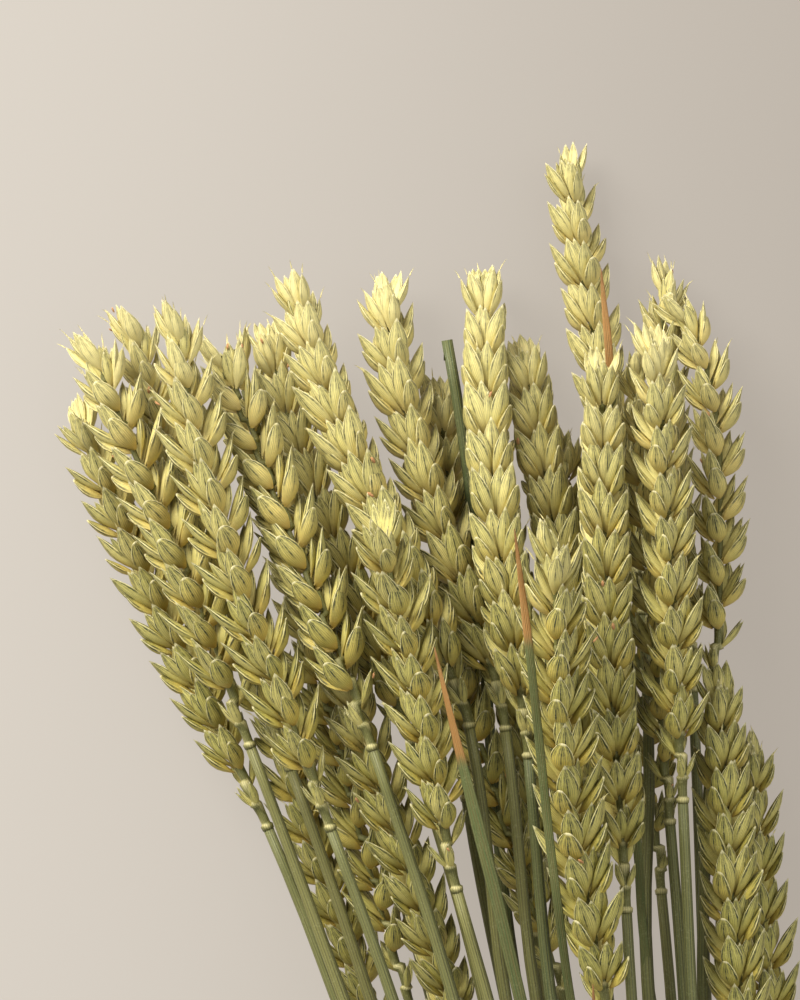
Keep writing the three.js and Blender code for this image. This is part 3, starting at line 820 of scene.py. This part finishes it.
def buildEar(number, rollLow, rollHigh, width):
    line = lines[number]
    length = (pointAt(line, line["tip"]) - pointAt(line, line["foot"])).length
    scaly = length - earShape["neck"] - earShape["cap"]
    steps = round(scaly / earShape["step"])
    step = scaly / steps
    loose = earShape["loose"]
    kinds = earShape["kinds"]
    parts = []

    def addScale(model, at, axes, turn, offset, angles, size, palenessAndPaintedLight):
        along, outward, side = axes
        sideways, out, forward = (value * size for value in offset)
        fan, splay, facing = angles
        at = at + side * turn * sideways + outward * out + along * forward
        matrix = scaleMatrix(at, along, outward, side, turn * fan + vary(loose), splay + vary(loose),
                             turn * facing + vary(loose * 2), size * (1 + vary(0.07)))
        matrix = matrix @ Matrix.Diagonal((1 + vary(0.1), 1, 1 + vary(0.15), 1))
        # greener at random as the husk's own tone, and greener and darker towards the bottom of the bundle
        # as painted shade
        green = min(dice.random() * 0.7 + 0.45 * smooth(at.y, 260, 130), 1)
        parts.append(copyOf(models[model], matrix, [green, kinds[model], palenessAndPaintedLight, 1]))
        if model == "glume":
            return
        high = smooth(at.y, line["tip"] - 30, line["tip"] - 8)
        if dice.random() < earShape["awnShare"] + earShape["awnShareHigh"] * high:
            long = dice.uniform(*earShape["awnLength"]) + high * dice.uniform(0.2, 2)
            bend = Matrix.Rotation(math.radians(vary(12)), 4, "Z")
            bend = bend @ Matrix.Rotation(math.radians(vary(10)), 4, "X")
            onTip = matrix @ Matrix.Translation(earShape["awnAt"])
            needle = onTip @ bend @ Matrix.Diagonal((1, long, 1, 1))
            parts.append(copyOf(models["awn"], needle, [0.4, kinds["awn"], 0.8, 1]))
        if dice.random() < earShape["antherShare"]:
            forward, out = earShape["antherAt"]
            held = matrix @ Matrix.Translation((vary(0.8), forward + vary(0.8), out))
            held = held @ Matrix.Rotation(vary(0.8), 4, "Z")
            parts.append(copyOf(models["anther"], held, [dice.random(), kinds["anther"], 0, 1]))

    for i in range(steps + 1):
        distance = earShape["neck"] + i * step
        t = distance / length
        y = mix(line["foot"], line["tip"], t)
        roll = mix(rollLow, rollHigh, t)
        along, outward, side = directionsAt(line, y, roll)
        if i % 2:
            outward, side = -outward, -side
        size = width / earShape["widthOfFan"] * earShare(t)
        # paler at an ear's tip, at its foot and at random as the husk's own colour; paler near the top of
        # the bundle (y 190 to 280 mm) as painted light
        palenessAndPaintedLight = 0.5 * smooth(t, 0.7, 1) * dice.random()
        palenessAndPaintedLight += 0.15 * smooth(t, 0.1, 0) + 0.45 * smooth(y, 190, 280)
        axes = (along, outward, side)
        at = pointAt(line, y)
        close = mix(1, 0.6, smooth(t, 0.75, 1)) * mix(0.5, 1, smooth(t, 0, 0.12))
        stunted = i < 2
        for turn in (-1, 1):
            for model, shift, (fan, splay, facing) in earShape["fan"]:
                if model == "glume" and t > earShape["pointsFrom"]:
                    model = "inner"
                if stunted:
                    model, shift = "slim", earShape["stunted"]
                addScale(model, at, axes, turn, shift, (fan * close, splay * close, facing), size, palenessAndPaintedLight)
        turn = dice.choice((-1, 1))
        for shift, (fan, splay, facing) in [] if stunted else earShape["inner"]:
            angles = (fan * close, splay * close, facing)
            addScale("inner", at, axes, turn, shift, angles, size * (0.92 + vary(0.08)), palenessAndPaintedLight)
    addTip(line, rollHigh, addScale)
    parts.append(buildRachis(line, step, rollLow))
    ear = joinPieces(f"ear{number}", parts)
    settle(ear, earShape["pressed"])
    finishPiece(ear, husk, [f"ear_{number}"])
    return ear


ears = [buildEar(number, *row) for number, row in zip(numbers, earTable)]
print("ears built")

# The stems: ribbed straws with one or two joints, cut off hollow at the low end

stemShape = {
    "radiusLow": 1.42, "radiusHigh": 1.12,
    "taper": 90,               # mm below the ear over which a stem gets slimmer
    "step": 9,                 # mm between the points of a stem
    "jointGap": 5,             # mm beside a joint that its own points replace
    "jointPoints": (-4, -1.6, -0.6, 0.6, 1.6, 4),
    "jointSwell": 1.16,
    "endReach": 2.2,           # mm round the end of a stem's line that its last ring lies in
    "holeDepth": 4, "wall": 0.62,
}


def stemLevels(low, high, joints):
    levels = list(np.linspace(low, high, int((high - low) / stemShape["step"])))
    for joint in joints:
        levels = [y for y in levels if abs(y - joint) > stemShape["jointGap"]]
        levels += [joint + shift for shift in stemShape["jointPoints"]]
    return sorted(levels)


def swellAt(y, joints):
    return sum(smooth(abs(y - joint), 2.2, 0.4) for joint in joints)


def buildStem(number):
    line = lines[number]
    low, high = line["cut"], line["foot"] - 0.2
    joints = [dice.uniform(-150, 20)]
    joints.append(joints[0] - dice.uniform(120, 170))
    joints = [y for y in joints if y > low + 14]
    levels = stemLevels(low, high, joints)
    radii = []
    for y in levels:
        slimmer = smooth(y, high - stemShape["taper"], high)
        radius = mix(stemShape["radiusLow"], stemShape["radiusHigh"], slimmer)
        radii.append(radius * mix(1, stemShape["jointSwell"], swellAt(y, joints)))
    places = [pointAt(line, y) for y in levels]
    stem = tubeAlong(f"stem{number}", ribbed, places, radii)
    inwards = (places[1] - places[0]).normalized() * stemShape["holeDepth"]
    endTube(stem, places[0], inwards, stemShape["wall"])
    endTube(stem, places[-1])
    own, strawy = dice.random(), dice.random() * 0.25
    paintTone(stem, lambda at: (own, swellAt(at.y, joints), strawy))
    return stem


for number in numbers:
    finishPiece(buildStem(number), stemSkin, [f"stem_{number}"])
print("stems built")

# One green straw with no ear, cut off at both ends

strawShape = {"radius": 1.18, "joints": [40], "swell": 0.2, "holeDepth": 4, "wall": 0.6}


def buildStraw():
    low, high = [corner.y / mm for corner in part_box("straw")]
    inset, joints = tracing["endInset"], strawShape["joints"]
    line = lineThrough(traceLine("straw", low + inset, high - inset))
    levels = stemLevels(low, high, joints)
    places = [pointAt(line, y) for y in levels]
    radii = [strawShape["radius"] + strawShape["swell"] * swellAt(y, joints) for y in levels]
    straw = tubeAlong("greenStraw", ribbed, places, radii)
    for end, way in ((0, 1), (-1, -1)):
        endTube(straw, places[end], (0, strawShape["holeDepth"] * way, 0), strawShape["wall"])
    paintTone(straw, lambda at: (0, swellAt(at.y, joints), 0))
    return straw


finishPiece(buildStraw(), stemSkin, ["straw"])
print("straw built")

# Dry rolled leaves: the stem that each grows from, the way its blade runs as (y, x) with no x where
# it leaves the stem, half its width and how many millimetres from its tip it starts to narrow

leafTable = [
    ("10", [(49.1, None), (139.1, 4.5), (189.1, -7.5), (213.1, -13.5)], 1.3, 34),
    ("13", [(59.1, None), (139.1, 14.5), (209.1, 5.5), (236.1, 2.5)], 0.9, 18),
    ("17", [(69.1, None), (159.1, 28.5), (259.1, 22.5), (288.1, 20.5)], 0.9, 14),
    ("15", [(49.1, None), (109.1, 20.5), (139.1, 18.5), (147.1, 17.0)], 0.9, 14),
]
leafShape = {
    "step": 3,                 # mm between the places at which the blade is looked for
    "window": 2.4,             # mm to each side of its way in which it is found
    "clear": 1.7,              # mm round the stem that belong to the stem
    "lift": 0.35,              # how far it lies over the ears
    "sheathed": 24,            # mm that it runs along the stem before it leaves it
    "highest": 9,              # how far it may rise to pass over an ear
    "curl": 0.5,
    "dry": (26, 18),           # mm from its tip where it turns from green to dry
    "brown": (8, 0),           # and from there to brown
}


def traceBlade(number, path):  # finds a blade's height on the node, from its tip down to the stem
    corners, edges = nodeMesh(f"stem_{number}")
    line = lines[number]
    path = [(y, pointAt(line, y).x if x is None else x) for y, x in path]
    places = []
    for y in np.arange(path[-1][0] - 0.8, path[0][0], -leafShape["step"]):
        x = np.interp(y, *zip(*path))
        stem = pointAt(line, y)
        points = cutAt(corners, edges, y)
        near = points[np.abs(points[:, 0] - x) < leafShape["window"]]
        if len(near) and y < line["foot"]:
            near = near[np.hypot(near[:, 0] - stem.x, near[:, 1] - stem.z) > leafShape["clear"]]
        if len(near):
            places.append((near[:, 0].mean(), y, near[:, 1].mean()))
    return np.array(places[::-1])


def topOfEars(x, y, half):  # how high the ears reach under a place
    tops = [-9]
    down, above = Vector((0, 0, -1)), cadHigh.z / mm + 30
    for shift in (-half, 0, half):
        for ear in ears:
            hit, place, _, _ = ear.ray_cast(Vector((x + shift, y, above)) * mm, down)
            if hit:
                tops.append(place.z / mm)
    return max(tops)


def buildLeaf(number, path, half, taper):
    places = np.pad(traceBlade(number, path), ((2, 2), (0, 0)), "edge")
    middle = sum(places[i:len(places) - 4 + i] for i in range(5)) / 5
    start = middle[0][1]
    sheathed = np.linspace(start - leafShape["sheathed"], start - 6, 4)
    line = [*[pointAt(lines[number], y) for y in sheathed], *[Vector(place) for place in middle]]
    shares = [i / (len(line) - 1) for i in range(len(line))]
    tops = [max(topOfEars(at.x, at.y, half) + leafShape["lift"], at.z) for at in line]
    tops = [max(tops[max(i - 1, 0):i + 2]) for i in range(len(tops))]
    for i, (share, at) in enumerate(zip(shares, line)):
        around = tops[max(i - 3, 0):i + 4]
        rise = sum(around) / len(around) - at.z
        rise = min(rise, leafShape["highest"]) * smooth(share, 0.15, 0.45)
        at.z += 0.5 + 0.9 * smooth(share, 0.25, 0) + rise
    radii = []
    for share, at in zip(shares, line):
        fromTip = min((line[-1].y - at.y) / taper, 1)
        radii.append(half * mix(0.08, 1, fromTip ** 0.7) * mix(0.7, 1, smooth(share, 0, 0.2)))
    tilts = [leafShape["curl"] * math.sin(share * 9 + half * 7) * share for share in shares]
    leaf = tubeAlong(f"leaf{number}", blade, line, radii, tilts, "Z_UP")
    closeTube(leaf)
    tip, dry, brown = line[-1].y, leafShape["dry"], leafShape["brown"]
    paintTone(leaf, lambda at: (smooth(tip - at.y, *dry), smooth(tip - at.y, *brown), 0))
    return leaf


for number, *leaf in leafTable:
    finishPiece(buildLeaf(number, *leaf), leafSkin, [f"stem_{number}"])
print("leaves built")

# The tie: turns of three-strand twine, its knot, two ends and loose fibres

twineShape = {
    "middle": -60.9,           # the y of the middle turn
    "twine": 1.12, "turns": 8, "pitch": 1.85,
    "stem": 1.36,              # how thick the twine finds the stems, from their middles
    "strandTurn": 7.0,         # mm along the twine for one turn of its strands
    "spacing": 0.7,            # mm between its points
    "perTurn": 72,             # steps in one turn round the stems
    "lead": 26,                # steps of the first and last turn that lead to the knot
    "reach": 8,                # mm to each side of its middle in which the stems are straight
    # tilt, width, height and lean of the knot's two loops
    "loops": [(0.35, 2.3, 1.5, 0.25), (-0.9, 1.9, 1.5, -0.3)],
    "loopLift": 4.1, "endLift": 2.4,
    "end": [(0, 0, 1.4), (3.4, -1.0, 1.6), (7.0, -2.2, 0.4),
            (10.0, -3.2, -2.0), (12.4, -4.4, -5.4), (13.4, -5.4, -9.0)],
    "frays": 9, "fibres": 46,
    "pressed": 0.3,            # mm over the floor in which the lowest twine is flattened
}


def soften(places):  # rounds the bends between two fixed ends
    for _ in range(6):
        places[1:-1] = [(a + 2 * b + c) / 4 for a, b, c in zip(places, places[1:], places[2:])]
    return places


def twineAlong(name, places, radius):
    runs = runsAlong(places)
    even = np.linspace(0, runs[-1], round(runs[-1] / twineShape["spacing"]) + 1)
    places = [Vector(place) for place in zip(*(np.interp(even, runs, axis) for axis in zip(*places)))]
    tilts = [run / twineShape["strandTurn"] * 2 * math.pi for run in even]
    twine = tubeAlong(name, strands, places, [radius] * len(places), tilts)
    closeTube(twine)
    return twine


stemsInTie = [
    [pointAt(line, twineShape["middle"] + shift) for line in lines.values()]
    for shift in (-twineShape["reach"], twineShape["reach"])
]


def roundStems(angle, y, out):  # where a taut twine runs round the stems, seen along them
    away = Vector((math.cos(angle), 0, math.sin(angle)))
    share = y / (2 * twineShape["reach"]) + 0.5
    outermost = max((a.lerp(b, share) for a, b in zip(*stemsInTie)), key=away.dot)
    return outermost + away * (twineShape["stem"] + out)


def turnsOfTwine():
    places = []
    perTurn, width = twineShape["perTurn"], twineShape["turns"] * twineShape["pitch"]
    count = twineShape["turns"] * perTurn + 6  # it starts and ends 3 steps past the knot
    for i in range(count + 1):
        angle = math.pi / 2 + (i - 3) / perTurn * 2 * math.pi
        y = (i / count - 0.5) * width + 0.1 * math.sin(angle * 1.7)
        over = 1 - smooth(min(i, count - i), 0, twineShape["lead"])
        lift = twineShape["twine"] * (1 + 1.7 * smooth(over, 0.02, 0.3))
        places.append(roundStems(angle, mix(y, 0, over), lift))
    return twineAlong("turns", soften(places), twineShape["twine"])


def loopOfKnot(tilt, width, height, lean):  # one closed-looking loop of the knot, on top of the turns
    top = roundStems(math.pi / 2, 0, twineShape["loopLift"])
    places = []
    for share in np.linspace(0, 0.98, 29):
        angle = share * 2 * math.pi
        flat = Vector((math.cos(angle) * width, math.sin(angle) * height, 0.5 * math.sin(angle * 2)))
        flat.rotate(Matrix.Rotation(lean, 3, "Y"))
        flat.rotate(Matrix.Rotation(tilt, 3, "Z"))
        places.append(top + flat)
    return twineAlong("knotLoop", places, twineShape["twine"] * 0.92)


def looseEnd(turn):
    top = roundStems(math.pi / 2, 0, twineShape["endLift"])
    corners = twineShape["end"]
    shares = np.linspace(0, len(corners) - 1, 41)
    axes = [np.interp(shares, range(len(corners)), axis) for axis in zip(*corners)]
    places = soften([Vector(at) for at in zip(*axes)])
    slant = 1 if turn > 0 else 0.4
    places = [top + Vector((at.x * turn, at.y * slant, at.z)) for at in places]
    return twineAlong("looseEnd", places, twineShape["twine"] * 0.9), places


def fibre(at, direction, length):  # one stray hair of the twine
    step = direction.normalized() * length
    droop = Vector((0, 0, -0.25 * length))
    places = [at + step * share + droop * share * share for share in (0, 0.4, 0.75, 1)]
    hair = tubeAlong("fibre", smoothRing, places, [0.09, 0.08, 0.06, 0.02])
    closeTube(hair)
    return hair


def buildTie():
    parts = [turnsOfTwine(), *[loopOfKnot(*loop) for loop in twineShape["loops"]]]
    hairs = []
    for turn in (-1, 1):
        end, places = looseEnd(turn)
        parts.append(end)
        away = (places[-1] - places[-3]).normalized()
        for _ in range(twineShape["frays"]):
            at = places[-1] + Vector((vary(0.5), vary(0.5), vary(0.5)))
            spread = Vector((vary(0.45), vary(0.45), vary(0.35)))
            hairs.append(fibre(at, away + spread, dice.uniform(1.6, 3.4)))
    for _ in range(twineShape["fibres"]):
        angle = dice.uniform(0, 2 * math.pi)
        out = Vector((math.cos(angle), 0, math.sin(angle)))
        at = roundStems(angle, vary(6.5), twineShape["twine"] * 1.7)
        lean = Vector((-math.sin(angle) * dice.choice((-1, 1)), vary(0.7), math.cos(angle)))
        if at.z > 1.5:
            hairs.append(fibre(at, out * dice.uniform(0.1, 0.6) + lean, dice.uniform(1.2, 3.2)))
    for part in parts:
        paintTone(part, lambda at: (0, 0, 0))
    for hair in hairs:
        paintTone(hair, lambda at: (0.8, 0, 0))
    tie = joinPieces("twineTie", [*parts, *hairs])
    settle(tie, twineShape["pressed"])
    finishPiece(tie, twineSkin, ["tie"])


buildTie()
print("tie built")

for model in [*models.values(), ribbed, blade, smoothRing, strands]:
    bpy.data.objects.remove(model)

# Floor, light and camera

view = {  # in metres
    "middle": (-0.0195, 0.2391),  # the place the camera looks down on
    "height": 1.1,
    "lookAt": 0.02,               # the height at which the picture is frameHeight high
    "frameHeight": 0.2,
    "sensor": 24,                 # mm
}
floorLook = {
    "base": colour(72, 69, 65),
    # a painted glow: the floor shines by itself to lift the shadows, and it is painted dimmer to the right
    # as if lit from the left
    "glowLeft": colour(199, 191, 180), "glowRight": colour(164, 155, 144), "from": -0.14, "to": 0.11,
}

scene = bpy.context.scene
clearSelection()
bpy.ops.mesh.primitive_plane_add(size=6, location=(0, 0, -0.0002))
floor = bpy.context.object
floor.name = "floor"
# the floor looks pale because of a painted glow from its emission, laid over a dark base
floorMaterial, tree, shader = newMaterial("glowingFloor")
shader.inputs["Base Color"].default_value = floorLook["base"]
place = addNode(tree, "ShaderNodeSeparateXYZ", {0: placeOf(tree)})
# painted shade: the floor's own glow fades towards the right, where less light falls
paintedShadeToRight = between(tree, place.outputs["X"], floorLook["from"], floorLook["to"])
paintedGlow = blend(tree, paintedShadeToRight, floorLook["glowLeft"], floorLook["glowRight"])
tree.links.new(paintedGlow, shader.inputs["Emission Color"])
shader.inputs["Emission Strength"].default_value = 1
shader.inputs["Roughness"].default_value = 0.9
floor.data.materials.append(floorMaterial)


def addLight(name, place, size, power, target, tint=(1, 1, 1)):
    lamp = bpy.data.lights.new(name, "AREA")
    lamp.shape = "SQUARE"
    lamp.size = size
    lamp.energy = power
    lamp.color = tint
    holder = bpy.data.objects.new(name, lamp)
    scene.collection.objects.link(holder)
    holder.location = place
    holder.rotation_euler = (Vector(target) - Vector(place)).to_track_quat("-Z", "Y").to_euler()


target = (*view["middle"], 0)
addLight("keyLight", (-0.6, 0.86, 0.58), 0.7, 23, target, (1, 0.98, 0.92))
addLight("fillLight", (1.1, 0.5, 1.3), 1.6, 11, target)
world = bpy.data.worlds.new("studio")
world.use_nodes = True
background = world.node_tree.nodes["Background"].inputs
background["Color"].default_value = (0.86, 0.87, 0.9, 1)
background["Strength"].default_value = 0.58
scene.world = world
scene.view_settings.view_transform = "Standard"

cameraData = bpy.data.cameras.new("camera")
cameraData.sensor_fit = "VERTICAL"
cameraData.sensor_height = view["sensor"]
cameraData.lens = view["sensor"] * (view["height"] - view["lookAt"]) / view["frameHeight"]
camera = bpy.data.objects.new("camera", cameraData)
scene.collection.objects.link(camera)
camera.location = (*view["middle"], view["height"])
scene.camera = camera
